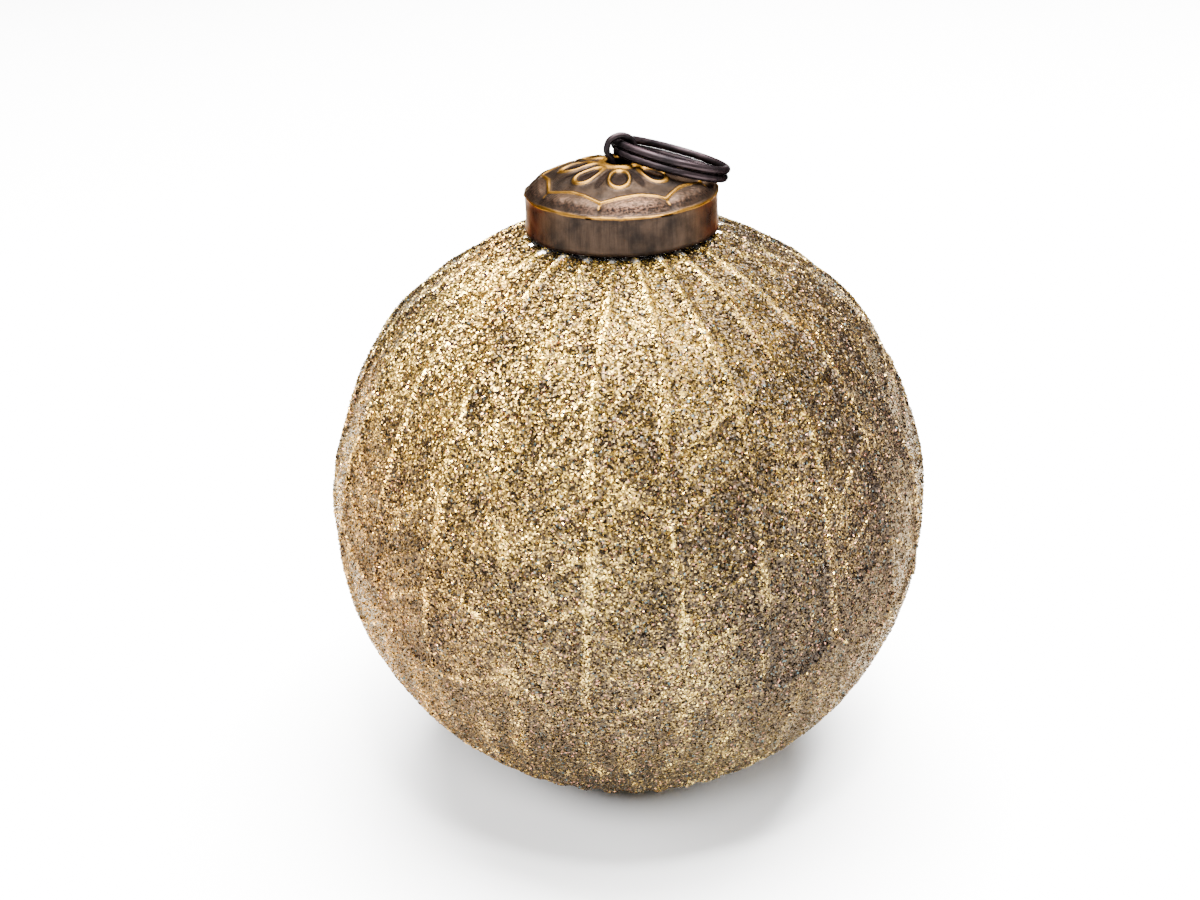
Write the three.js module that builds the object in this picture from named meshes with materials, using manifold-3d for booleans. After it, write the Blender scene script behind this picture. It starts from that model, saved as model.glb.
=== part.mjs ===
// Mercury glass bauble: a hollow embossed glass ball, its stamped cap, a wire eye and a split ring.
// Millimetres, +Z up. The origin is the centre of the flat spot that the ball stands on.
// Azimuths are degrees from the front (-Y) towards +X. Latitudes are degrees above the ball's equator.

import * as THREE from 'three';
import { mergeVertices } from 'three/addons/utils/BufferGeometryUtils.js';
import Module from 'manifold-3d';

const wasm = await Module();
wasm.setup();

// Glass ball
const ballDiameter = 100;
const glassWall = 1.3;
const flatDiameter = 17;
const shoulderFullness = 0.6;
const shoulderLatitude = 41;
const shoulderSpread = 20;

// Leaves pressed into the glass, tips down, and the fine ribs under them
const leafCount = 12;
const leafTurn = -7;
const leafTipLatitude = -11;
const leafSideLatitude = -3;
const tipRoundness = 2.4;
const ribHeight = 0.6;
const ribHalfWidth = 1.3;
const veinPairs = 5;
const lowestVein = 8.5;
const veinStep = 8.5;
const veinDrop = 8;
const veinHeight = 0.3;
const veinHalfWidth = 1.1;
const lowerRibHeight = 0.35;
const ribFade = 9;

// Neck of the ball, inside the cap
const neckWall = 1.5;
const neckClearance = 0.9;
const seatClearance = 0.3898;

// Stamped cap
const capRimDiameter = 29.86;
const skirtFlare = 0.27;
const skirtHeight = 5.9;
const skirtGap = 0.5;
const domeHeight = 4.5;
const domeTaper = 0.82;
const capSheet = 0.5;
const capHoleDiameter = 4.6;
const collarWidth = 0.8;
const collarHeight = 0.25;
const beadHeight = 0.22;

// Stamped pattern, placed by shares of the band from the collar to the rim
const petalCount = 8;
const petalTurn = -1;
const petalPlace = 0.315;
const petalShare = 0.21;
const petalWidth = 3;
const outlineHeight = 0.32;
const outlineHalfWidth = 0.5;
const scallopTurn = 8.5;
const scallopArchPlace = 0.7;
const scallopCornerPlace = 0.81;
const pillowHeight = 0.3;

// Wire eye: an arch over the hole and two legs sprung out inside the neck
const eyeWire = 1.05;
const archWidth = 5.3;
const archSlack = 0.85;
const eyeTurn = 14;
const holeClearance = 0.42;
const boreClearance = 0.6;
const legDepth = 5;

// Split ring: two turns of one wire, leaning outward on the cap
const ringDiameter = 19.2;
const ringWire = 1.15;
const turnGap = 0.12;
const crossoverAngle = 40;
const crossoverPlace = 150;
const ringTurn = 26;
const ringClearance = 0.35;
const steepestLean = 45;

// Facets
const leafColumns = 8;
const petalColumns = 8;
const cavitySides = 32;
const wireSides = 6;
const eyeSteps = 34;
const ringSteps = 52;

// Sizes that follow from the ones above
const { degToRad, radToDeg, clamp, smoothstep } = THREE.MathUtils;
const ballRadius = ballDiameter / 2;
const bodyRadius = ballRadius - ribHeight;
const flatRadius = flatDiameter / 2;
const ballCentre = Math.sqrt(bodyRadius ** 2 - flatRadius ** 2);
const flatLatitude = -radToDeg(Math.acos(flatRadius / bodyRadius));
const rimRadius = capRimDiameter / 2;
const skirtRadius = rimRadius + skirtFlare;
const skirtFoot = ballCentre + Math.sqrt(ballRadius ** 2 - skirtRadius ** 2) + skirtGap;
const rimLevel = skirtFoot + skirtHeight;
const collarTop = rimLevel + domeHeight + collarHeight;
const collarRadius = capHoleDiameter / 2 + collarWidth;
const stampedBand = rimRadius - collarRadius;
const petalCentre = collarRadius + petalPlace * stampedBand;
const petalHalfLength = petalShare * stampedBand;
const scallopArch = collarRadius + scallopArchPlace * stampedBand;
const scallopCorner = collarRadius + scallopCornerPlace * stampedBand;
const ringRadius = (ringDiameter - ringWire) / 2;
const ringPitch = ringWire + turnGap;
const archRise = eyeWire + ringPitch + ringWire + archSlack;
const neckRadius = rimRadius - capSheet - neckClearance;
const boreRadius = neckRadius - neckWall;
const neckTop = rimLevel + domeRise(neckRadius, capSheet) - seatClearance;
const neckFoot = ballCentre + Math.sqrt(bodyRadius ** 2 - neckRadius ** 2);

// Height of the cap's dome over its rim plane, on its outside or a sheet's thickness in. A
// taper of 0.5 would make it an ellipsoid, and a larger one lowers its shoulder.
function domeRise(radius, inset = 0) {
  const share = Math.min(radius / (rimRadius - inset), 1);
  return (domeHeight - inset) * (1 - share ** 2) ** domeTaper;
}

// Direction off the dome's outside at a radius and a height over the rim plane, not of unit length
function domeNormal(radius, rise) {
  const upward = (rise / domeHeight) ** (1 / domeTaper - 1) / (2 * domeTaper * domeHeight);
  return new THREE.Vector2(radius / rimRadius ** 2, upward);
}

// A point at an azimuth, a radius from the axis and a level
function place(azimuth, radius, level) {
  const turn = degToRad(azimuth);
  return new THREE.Vector3(radius * Math.sin(turn), -radius * Math.cos(turn), level);
}

// A soft ridge: 1 on its crest line, 0 from its half width outward
function ridge(distance, halfWidth) {
  const share = Math.min(Math.abs(distance) / halfWidth, 1);
  return (1 - share ** 2) ** 2;
}

// A closed skin over rings of points, from the lowest to the highest, with a point at each end
function skin(lowPoint, rings, highPoint) {
  const count = rings[0].length;
  const points = [lowPoint, ...rings.flat(), highPoint];
  const index = [];
  const last = points.length - 1;
  const topRow = 1 + (rings.length - 1) * count;
  for (let i = 0; i < count; i += 1) {
    const next = (i + 1) % count;
    index.push(0, 1 + next, 1 + i, last, topRow + i, topRow + next);
    for (let row = 1; row < topRow; row += count) {
      index.push(row + i, row + next, row + count + next);
      index.push(row + i, row + count + next, row + count + i);
    }
  }
  return new THREE.BufferGeometry().setFromPoints(points).setIndex(index);
}

// A solid of revolution about +Z from a profile of radii and levels, lowest first
function turned(profile, sides) {
  const points = profile.map(([radius, level]) => new THREE.Vector2(radius, level));
  return new THREE.LatheGeometry(points, sides).rotateX(Math.PI / 2);
}

function toSolid(geometry) {
  const bare = geometry.clone();
  bare.deleteAttribute('normal');
  bare.deleteAttribute('uv');
  const merged = mergeVertices(bare, 1e-4);
  const corners = merged.index.array;
  const kept = [];
  for (let i = 0; i < corners.length; i += 3) {
    const [a, b, c] = corners.slice(i, i + 3);
    if (a !== b && b !== c && c !== a) kept.push(a, b, c);
  }
  const vertProperties = new Float32Array(merged.attributes.position.array);
  return new wasm.Manifold(new wasm.Mesh({ numProp: 3, vertProperties, triVerts: new Uint32Array(kept) }));
}

function toGeometry(solid) {
  const { vertProperties, triVerts } = solid.getMesh();
  const geometry = new THREE.BufferGeometry();
  geometry.setAttribute('position', new THREE.BufferAttribute(vertProperties, 3));
  geometry.setIndex(new THREE.BufferAttribute(triVerts, 1));
  geometry.computeVertexNormals();
  return geometry;
}

// A closed round tube along a path
function wire(path, diameter, sides, steps) {
  const corners = Array.from({ length: sides }, (_, corner) => {
    const angle = 2 * Math.PI * corner / sides;
    return new THREE.Vector2(diameter / 2 * Math.cos(angle), diameter / 2 * Math.sin(angle));
  });
  const section = new THREE.Shape(corners);
  return new THREE.ExtrudeGeometry(section, { extrudePath: path, steps, bevelEnabled: false });
}

// Glass ball

const halfLeaf = 180 / leafCount;

// The leaf's lower edge: its latitude at an angle from the midrib
function leafEdge(offset) {
  const share = (offset / halfLeaf) ** tipRoundness;
  return leafTipLatitude + (leafSideLatitude - leafTipLatitude) * share;
}

// Height of the relief at an angle from the nearest midrib and a latitude
function leafRelief(offset, latitude) {
  const perDegree = degToRad(bodyRadius);
  const across = perDegree * Math.cos(degToRad(latitude));
  const belowEdge = (leafEdge(offset) - latitude) * perDegree;
  const edge = ribHeight * ridge(belowEdge, ribHalfWidth);
  if (belowEdge > 0) {
    const spacing = halfLeaf / 2;
    const fromRib = (offset - spacing * Math.round(offset / spacing)) * across;
    const fade = smoothstep(belowEdge, 0, 2 * ribHalfWidth) * smoothstep(latitude, flatLatitude, flatLatitude + ribFade);
    return Math.max(edge, lowerRibHeight * fade * ridge(fromRib, spacing * across / 2));
  }
  const midrib = ribHeight * ridge(offset * across, ribHalfWidth);
  const side = ribHeight * ridge((halfLeaf - offset) * across, ribHalfWidth);
  const alongMidrib = latitude + veinDrop * offset / halfLeaf;
  const vein = clamp(Math.round((alongMidrib - lowestVein) / veinStep), 0, veinPairs - 1);
  const fromVein = (alongMidrib - lowestVein - vein * veinStep) * perDegree;
  const veinFade = 1 - smoothstep(offset, halfLeaf / 2, halfLeaf * 0.95);
  return Math.max(edge, midrib, side, veinHeight * veinFade * ridge(fromVein, veinHalfWidth));
}

// Angles from a midrib to the next one, crowded at the ribs
function leafAngles(latitude) {
  const widthAngle = radToDeg(ribHalfWidth / (bodyRadius * Math.cos(degToRad(latitude))));
  const underLeaf = 1 - smoothstep(latitude, leafTipLatitude - 4, leafTipLatitude + 4);
  const foot = THREE.MathUtils.lerp(Math.min(widthAngle, halfLeaf / 3), halfLeaf / 4, underLeaf);
  const half = [0, foot, halfLeaf / 2, halfLeaf - foot];
  return [...half, halfLeaf, ...half.slice(1).reverse().map((angle) => 2 * halfLeaf - angle)];
}

// One ring of the ball's skin: its latitude on the midribs, on the leaves' sides, and how it bends
function ballRing({ mid, side = mid, bend = 1 }) {
  const ring = [];
  for (let column = 0; column < leafCount * leafColumns; column += 1) {
    const leaf = Math.floor(column / leafColumns);
    const angle = leafAngles(mid)[column % leafColumns];
    const offset = Math.min(angle, 2 * halfLeaf - angle);
    const latitude = mid + (side - mid) * (offset / halfLeaf) ** bend;
    const fullness = shoulderFullness * ridge(latitude - shoulderLatitude, shoulderSpread);
    const radius = bodyRadius + fullness + leafRelief(offset, latitude);
    const lift = degToRad(latitude);
    const azimuth = leafTurn + 2 * halfLeaf * leaf + angle;
    ring.push(place(azimuth, radius * Math.cos(lift), ballCentre + radius * Math.sin(lift)));
  }
  return ring;
}

function ballRows() {
  const perMillimetre = 1 / degToRad(bodyRadius);
  const ribFoot = ribHalfWidth * perMillimetre;
  const veinFoot = veinHalfWidth * perMillimetre;
  const underRows = 5;
  const underTop = leafTipLatitude - 4 * ribFoot;
  const rows = [];
  for (let row = 0; row < underRows; row += 1) {
    const share = row / (underRows - 1);
    rows.push({ mid: THREE.MathUtils.lerp(flatLatitude + ribFade, underTop, share) });
  }
  for (const shift of [-ribFoot, 0, ribFoot]) {
    rows.push({ mid: leafTipLatitude + shift, side: leafSideLatitude + shift, bend: tipRoundness });
  }
  rows.push({ mid: (leafTipLatitude + lowestVein) / 2, side: (leafSideLatitude + lowestVein - veinDrop) / 2, bend: 1.5 });
  for (let vein = 0; vein < veinPairs; vein += 1) {
    for (const shift of [-veinFoot, 0, veinFoot]) {
      const mid = lowestVein + vein * veinStep + shift;
      rows.push({ mid, side: mid - veinDrop });
    }
  }
  const highestVein = lowestVein + (veinPairs - 1) * veinStep;
  const neckLatitude = radToDeg(Math.acos(neckRadius / bodyRadius));
  for (const share of [0.35, 0.7]) {
    const mid = THREE.MathUtils.lerp(highestVein, neckLatitude, share);
    rows.push({ mid, side: mid - veinDrop * (1 - share) });
  }
  return rows;
}

function buildBall() {
  const rings = ballRows().map(ballRing);
  const azimuths = leafAngles(shoulderLatitude);
  const round = (radius, level) => rings[0].map((_, column) => {
    const leaf = Math.floor(column / leafColumns);
    return place(leafTurn + 2 * halfLeaf * leaf + azimuths[column % leafColumns], radius, level);
  });
  const evenRound = (radius, level) => rings[0].map((_, column) => (
    place(leafTurn + 360 * column / rings[0].length, radius, level)
  ));
  rings.unshift(evenRound(flatRadius, 0));
  rings.push(round(neckRadius, neckFoot), round(neckRadius, neckTop));
  const body = toSolid(skin(new THREE.Vector3(), rings, new THREE.Vector3(0, 0, neckTop)));
  return toGeometry(body.subtract(toSolid(buildCavity())));
}

// The hollow: a sphere with a flattened floor, open through the neck
function buildCavity() {
  const radius = bodyRadius - glassWall;
  const floor = glassWall - ballCentre;
  const start = Math.asin(floor / radius);
  const end = Math.acos(boreRadius / radius);
  const arcSteps = 10;
  const profile = [[0, glassWall]];
  for (let step = 0; step <= arcSteps; step += 1) {
    const angle = start + (end - start) * step / arcSteps;
    profile.push([radius * Math.cos(angle), ballCentre + radius * Math.sin(angle)]);
  }
  const past = neckTop + glassWall;
  profile.push([boreRadius, past], [0, past]);
  return turned(profile, cavitySides);
}

// Cap

const halfPetal = 180 / petalCount;

// A petal is wider at its outer end: its half width, before its ends close, at -1 to 1 along it
function petalHalfWidth(along) {
  return petalWidth / 2 * (1 + 0.25 * along);
}

// Signed distance outward from the nearest petal's outline, about in millimetres
function fromPetal(azimuth, radius) {
  const pitch = 2 * halfPetal;
  const angle = azimuth - petalTurn - pitch * Math.round((azimuth - petalTurn) / pitch);
  const along = (radius - petalCentre) / petalHalfLength;
  const wide = petalHalfWidth(along);
  const across = radius * Math.sin(degToRad(angle)) / wide;
  return (Math.hypot(across, along) - 1) * wide;
}

// Share of the way from a scallop's middle to its corner
function scallopShare(azimuth) {
  const pitch = 2 * halfPetal;
  const angle = azimuth - scallopTurn - pitch * Math.round((azimuth - scallopTurn) / pitch);
  return Math.abs(angle) / halfPetal;
}

function scallopRadius(azimuth) {
  return scallopArch + (scallopCorner - scallopArch) * scallopShare(azimuth) ** 1.8;
}

const collarMiddle = collarRadius - collarWidth / 2;

function capRelief(azimuth, radius) {
  const collar = collarHeight * ridge(radius - collarMiddle, collarWidth);
  const petal = outlineHeight * ridge(fromPetal(azimuth, radius), outlineHalfWidth);
  const crest = scallopRadius(azimuth);
  const scallop = outlineHeight * ridge(radius - crest, outlineHalfWidth);
  const lobe = clamp((radius - crest) / (rimRadius - crest), 0, 1);
  const pillow = pillowHeight * Math.sin(Math.PI * lobe) * (1 - scallopShare(azimuth) ** 4);
  return Math.max(collar, petal, scallop, pillow);
}

// Angles from a petal's middle to the next one's, with a column on each side of its outline
function petalAngles(outline) {
  const half = [0, outline / 2, outline, (outline + halfPetal) / 2];
  return [...half, halfPetal, ...half.slice(1).reverse().map((angle) => 2 * halfPetal - angle)];
}

// One ring of the dome at a radius that may follow the azimuth
function domeRing(radiusAt, turn, outline) {
  const angles = petalAngles(outline);
  const ring = [];
  for (let column = 0; column < petalCount * petalColumns; column += 1) {
    const petal = Math.floor(column / petalColumns);
    const azimuth = turn + 2 * halfPetal * petal + angles[column % petalColumns];
    const radius = radiusAt(azimuth);
    const rise = domeRise(radius);
    const normal = domeNormal(radius, rise).normalize();
    const relief = capRelief(azimuth, radius);
    ring.push(place(azimuth, radius + relief * normal.x, rimLevel + rise + relief * normal.y));
  }
  return ring;
}

function buildCap() {
  const even = halfPetal / 2;
  const beadHalf = 2 * beadHeight;
  const plain = (radius, level) => domeRing(() => rimRadius, scallopTurn, even).map((point) => {
    const share = radius / Math.hypot(point.x, point.y);
    return new THREE.Vector3(point.x * share, point.y * share, level);
  });
  const shoulder = rimRadius * Math.sqrt(1 - (2 * beadHalf / domeHeight) ** (1 / domeTaper));
  const rings = [
    plain(skirtRadius, skirtFoot),
    plain(rimRadius, rimLevel - beadHalf),
    plain(rimRadius + beadHeight, rimLevel),
    domeRing(() => shoulder, scallopTurn, even),
    domeRing((azimuth) => (shoulder + scallopRadius(azimuth)) / 2, scallopTurn, even),
    domeRing(scallopRadius, scallopTurn, even),
    domeRing((azimuth) => scallopRadius(azimuth) - outlineHalfWidth, scallopTurn, even),
  ];
  for (const along of [1, 0.6, 0, -0.7]) {
    const radius = petalCentre + along * petalHalfLength;
    const half = petalHalfWidth(along) * Math.max(Math.sqrt(1 - along ** 2), 0.35);
    rings.push(domeRing(() => radius, petalTurn, radToDeg(Math.asin(half / radius))));
  }
  rings.push(domeRing(() => collarMiddle + collarWidth, petalTurn, even));
  rings.push(domeRing(() => collarMiddle, petalTurn, even));
  const low = new THREE.Vector3(0, 0, skirtFoot);
  const high = new THREE.Vector3(0, 0, rimLevel + domeHeight);
  const stamped = toSolid(skin(low, rings, high));
  return toGeometry(stamped.subtract(toSolid(buildCapInside())).subtract(toSolid(buildCapHole())));
}

function buildCapInside() {
  const innerRim = rimRadius - capSheet;
  const past = skirtFoot - capSheet;
  const profile = [[0, past], [skirtRadius - capSheet, past], [skirtRadius - capSheet, skirtFoot]];
  const arcSteps = 5;
  for (let step = 0; step < arcSteps; step += 1) {
    const radius = innerRim * Math.cos(Math.PI / 2 * step / arcSteps);
    profile.push([radius, rimLevel + domeRise(radius, capSheet)]);
  }
  profile.push([0, rimLevel + domeHeight - capSheet]);
  return turned(profile, cavitySides);
}

function buildCapHole() {
  const radius = capHoleDiameter / 2;
  const profile = [[0, rimLevel], [radius, rimLevel], [radius, collarTop + 1], [0, collarTop + 1]];
  return turned(profile, cavitySides / 2);
}

// Wire eye

function buildEye() {
  const half = eyeWire / 2;
  const archHalf = archWidth / 2 - half;
  const archTop = collarTop + archRise - half;
  const holeHalf = capHoleDiameter / 2 - holeClearance - half;
  const legHalf = boreRadius - boreClearance - half;
  const under = rimLevel + domeHeight - capSheet;
  const bend = (neckTop + neckFoot) / 2;
  const side = [
    [legHalf, neckFoot - legDepth],
    [legHalf * 0.86, (bend + neckFoot - legDepth) / 2],
    [legHalf * 0.45, bend],
    [holeHalf, under - eyeWire],
    [holeHalf, collarTop],
    [archHalf, collarTop + archRise * 0.34],
    [archHalf * 0.8, archTop - archRise * 0.16],
  ];
  const right = side.map(([x, level]) => new THREE.Vector3(x, 0, level));
  const left = side.map(([x, level]) => new THREE.Vector3(-x, 0, level)).reverse();
  const path = new THREE.CatmullRomCurve3([...right, new THREE.Vector3(0, 0, archTop), ...left], false, 'centripetal');
  return wire(path, eyeWire, wireSides, eyeSteps);
}

// Split ring

// Two flat turns, one over the other, joined by a short crossover
class SplitRingPath extends THREE.Curve {
  getPoint(share, target = new THREE.Vector3()) {
    const sweep = 720 - crossoverAngle;
    const along = share * sweep;
    const climb = smoothstep(along, 360 - crossoverAngle, 360);
    const angle = degToRad(crossoverPlace + crossoverAngle / 2 + along);
    const level = ringPitch * (climb - 0.5);
    return target.set(ringRadius * Math.cos(angle), ringRadius * Math.sin(angle), level);
  }
}

// A point on the ring's lower turn when its high end is in the eye and it leans by an angle
const ringHighEnd = collarTop + archRise - eyeWire - ringClearance - (ringPitch + ringWire) / 2;

function lowerTurnPoint(angle, lean) {
  const local = new THREE.Vector3(ringRadius * Math.cos(angle), ringRadius * Math.sin(angle), -ringPitch / 2);
  local.applyAxisAngle(new THREE.Vector3(0, 1, 0), lean);
  return local.add(ringCentre(lean));
}

function ringCentre(lean) {
  return new THREE.Vector3(ringRadius * Math.cos(lean), 0, ringHighEnd - ringRadius * Math.sin(lean));
}

// Distance of a point from the cap's plain outside or from the ball, whichever is nearer
function fromCapAndBall(point) {
  const radius = Math.hypot(point.x, point.y);
  const rise = point.z - rimLevel;
  const fromBall = Math.hypot(radius, point.z - ballCentre) - ballRadius;
  if (rise <= 0) return Math.min(fromBall, radius - skirtRadius);
  const level = Math.sqrt((radius / rimRadius) ** 2 + (rise / domeHeight) ** (1 / domeTaper));
  return (level - 1) * level / domeNormal(radius, rise).length();
}

// The steepest lean at which the ring's lower turn still clears the stamped cap
function restingLean() {
  const clearance = ringWire / 2 + outlineHeight + ringClearance;
  let low = 0;
  let high = degToRad(steepestLean);
  for (let round = 0; round < 20; round += 1) {
    const lean = (low + high) / 2;
    let gap = Infinity;
    for (let step = 0; step < ringSteps; step += 1) {
      const angle = 2 * Math.PI * step / ringSteps;
      gap = Math.min(gap, fromCapAndBall(lowerTurnPoint(angle, lean)));
    }
    if (gap > clearance) low = lean;
    else high = lean;
  }
  return low;
}

function buildRing() {
  const path = new SplitRingPath();
  path.arcLengthDivisions = 4 * ringSteps;
  return wire(path, ringWire, wireSides, ringSteps);
}

// The bauble

function part(name, geometry, color, roughness, metalness) {
  const mesh = new THREE.Mesh(geometry, new THREE.MeshStandardMaterial({ color, roughness, metalness }));
  mesh.name = name;
  return mesh;
}

const bauble = new THREE.Group();
bauble.add(part('glass_ball', buildBall(), 0x9c8357, 0.45, 0.7));
bauble.add(part('cap', buildCap(), 0x6e4a31, 0.45, 1));

const eye = part('hanger_wire', buildEye(), 0x1c181a, 0.35, 1);
eye.rotation.z = degToRad(eyeTurn);
bauble.add(eye);

const ring = part('split_ring', buildRing(), 0x221d20, 0.35, 1);
const lean = restingLean();
ring.rotation.y = lean;
ring.position.copy(ringCentre(lean));
const ringSupport = new THREE.Group();
ringSupport.rotation.z = degToRad(ringTurn);
ringSupport.add(ring);
bauble.add(ringSupport);

export default bauble;
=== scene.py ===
"""Mercury glass bauble: its finished look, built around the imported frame.

Metres, +Z up. The origin is the centre of the flat spot that the ball stands on. Azimuths are
degrees from the front (-Y) towards +X, and latitudes are degrees above the ball's equator.
"""

import logging
import math
from dataclasses import dataclass
from enum import Enum

import bmesh
import bpy
import numpy as np
from bpy.types import Material, Mesh, Node, NodeSocket, NodeTree, Object
from mathutils import Matrix, Quaternion, Vector


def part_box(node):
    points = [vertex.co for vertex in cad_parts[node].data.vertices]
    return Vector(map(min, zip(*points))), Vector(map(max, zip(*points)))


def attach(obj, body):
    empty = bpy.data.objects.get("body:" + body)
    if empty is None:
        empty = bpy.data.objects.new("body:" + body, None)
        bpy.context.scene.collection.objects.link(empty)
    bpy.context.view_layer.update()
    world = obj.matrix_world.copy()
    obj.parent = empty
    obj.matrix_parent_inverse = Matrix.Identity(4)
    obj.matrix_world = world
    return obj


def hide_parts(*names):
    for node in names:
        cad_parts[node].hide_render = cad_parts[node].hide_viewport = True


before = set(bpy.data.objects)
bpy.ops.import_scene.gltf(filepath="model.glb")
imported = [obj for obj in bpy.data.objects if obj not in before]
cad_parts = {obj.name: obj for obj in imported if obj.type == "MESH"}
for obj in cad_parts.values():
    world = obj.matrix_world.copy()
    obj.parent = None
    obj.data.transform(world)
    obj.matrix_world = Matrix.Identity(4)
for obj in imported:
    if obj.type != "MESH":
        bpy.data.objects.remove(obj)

Values = np.ndarray
Colour = tuple[float, float, float]
Place = tuple[float, float, float]
Pair = tuple[float, float]

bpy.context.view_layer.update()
MM = 0.001
BODY = "root"
GLITTER_EDGE: Colour = (0.6, 0.52, 0.4)
LOG = logging.getLogger("bauble")


class Slot(Enum):
    """The record's material slots."""

    GLASS = "glittered_glass"
    CAP = "aged_cap_metal"
    WIRE = "black_wire"


class Mark(Enum):
    """Vertex attributes that the finishes read."""

    # On the ball, a painted highlight on rib crests and painted shade along their feet; on the cap,
    # the worn raised lines.
    RAISED = "raised"
    # On the grains, each one's own pick; on the cap, darker stamped hollows and a band of painted
    # shade above the rim bead.
    TONE = "tone"
    # On the cap, rubbed pinkish flecks on the pillows, strongest on the front pillow as a painted
    # highlight.
    WEAR_AND_HIGHLIGHT = "wear"


class Kind(Enum):
    """Kinds of group sockets."""

    NUMBER = "NodeSocketFloat"
    COLOUR = "NodeSocketColor"


# Numeric helpers


def ridge(distance: Values, half_width: float | Values) -> Values:
    """Give a soft ridge: 1 on its crest line and 0 from its half width outward.

    Args:
        distance: Distance from the crest line.
        half_width: Where the ridge ends, in the same unit.

    Returns:
        The share of the ridge's full height.
    """
    share = np.minimum(np.abs(distance) / half_width, 1.0)
    return (1.0 - share**2) ** 2


def smoothstep(value: Values, low: float | Values, high: float | Values) -> Values:
    """Give 0 below low, 1 above high and a smooth climb between them.

    Args:
        value: Values to place.
        low: Start of the climb.
        high: End of the climb.

    Returns:
        Shares from 0 to 1.
    """
    share = np.clip((value - low) / (high - low), 0.0, 1.0)
    return share * share * (3.0 - 2.0 * share)


def ripple(points: Values, wavelength: float, seed: int, waves: int = 9) -> Values:
    """Give smooth, seeded unevenness at points, about from -1 to 1.

    Args:
        points: Places, one row each.
        wavelength: Typical distance from crest to crest, in the points' unit.
        seed: Which unevenness.
        waves: How many plane waves are added.

    Returns:
        One value for each point.
    """
    rng = np.random.default_rng(seed)
    ways = rng.normal(size=(waves, 3))
    ways /= np.linalg.norm(ways, axis=1, keepdims=True)
    turns = 2.0 * math.pi / (wavelength * rng.uniform(0.7, 1.4, waves))
    phases = rng.uniform(0.0, 2.0 * math.pi, waves)
    return np.sin(points @ (ways * turns[:, None]).T + phases).sum(1) / math.sqrt(waves)


def polar_points(azimuth: Values, radius: Values, level: Values) -> Values:
    """Give places, one row each, from azimuths, distances from the axis and levels."""
    turn = np.radians(azimuth)
    return np.stack([radius * np.sin(turn), -radius * np.cos(turn), level], axis=1)


def directions(azimuth: Values, latitude: Values) -> Values:
    """Give unit directions from the ball's centre, one row each."""
    lift = np.radians(latitude)
    return polar_points(azimuth, np.cos(lift), np.sin(lift))


def azimuths_of(points: Values) -> Values:
    """Give the azimuth of each point."""
    return np.degrees(np.arctan2(points[:, 0], -points[:, 1]))


def arc(radius: float, across: float, level: float, angles: Values) -> list[Pair]:
    """Give an arc's points in a section, as distances from the axis and levels."""
    return [(across + radius * math.cos(turn), level + radius * math.sin(turn)) for turn in angles]


# Mesh helpers


def finished_mesh(name: str, bm: bmesh.types.BMesh, smooth: bool = True) -> Mesh:
    """Turn a bmesh into a mesh, and free it.

    Args:
        name: The mesh's name.
        bm: What was modelled.
        smooth: Whether it is shaded smooth.

    Returns:
        The mesh.
    """
    mesh = bpy.data.meshes.new(name)
    bm.to_mesh(mesh)
    bm.free()
    if smooth:
        mesh.shade_smooth()
    return mesh


def read_places(mesh: Mesh) -> Values:
    """Give the places of a mesh's vertices.

    Args:
        mesh: The mesh.

    Returns:
        One row of x, y and z for each.
    """
    flat = np.empty(len(mesh.vertices) * 3, np.float32)
    mesh.vertices.foreach_get("co", flat)
    return flat.reshape(-1, 3).astype(float)


def write_places(mesh: Mesh, places: Values) -> None:
    """Move a mesh's vertices to new places, one row each."""
    mesh.vertices.foreach_set("co", places.astype(np.float32).ravel())
    mesh.update()


def write_mark(mesh: Mesh, mark: Mark, values: Values) -> None:
    """Keep one value for each vertex, for the finishes to read."""
    layer = mesh.attributes.new(mark.value, "FLOAT", "POINT")
    layer.data.foreach_set("value", values.astype(np.float32))


def turned_mesh(name: str, profile: list[Pair], steps: int, merge: float = 1e-7) -> Mesh:
    """Spin a closed profile about the axis.

    Args:
        name: The mesh's name.
        profile: Radii and levels, in order along the section.
        steps: Faces around the axis.
        merge: How near two points count as one.

    Returns:
        A closed mesh whose faces point outwards.
    """
    bm = bmesh.new()
    points = [bm.verts.new((0.0, -radius, level)) for radius, level in profile]
    edges = [bm.edges.new(pair) for pair in zip(points, points[1:])]
    bmesh.ops.spin(
        bm, geom=points + edges, cent=(0, 0, 0), axis=(0, 0, 1), angle=math.tau, steps=steps,
        use_merge=True, use_duplicate=False,
    )
    bmesh.ops.remove_doubles(bm, verts=bm.verts, dist=merge)
    bmesh.ops.recalc_face_normals(bm, faces=bm.faces)
    return finished_mesh(name, bm)


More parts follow.
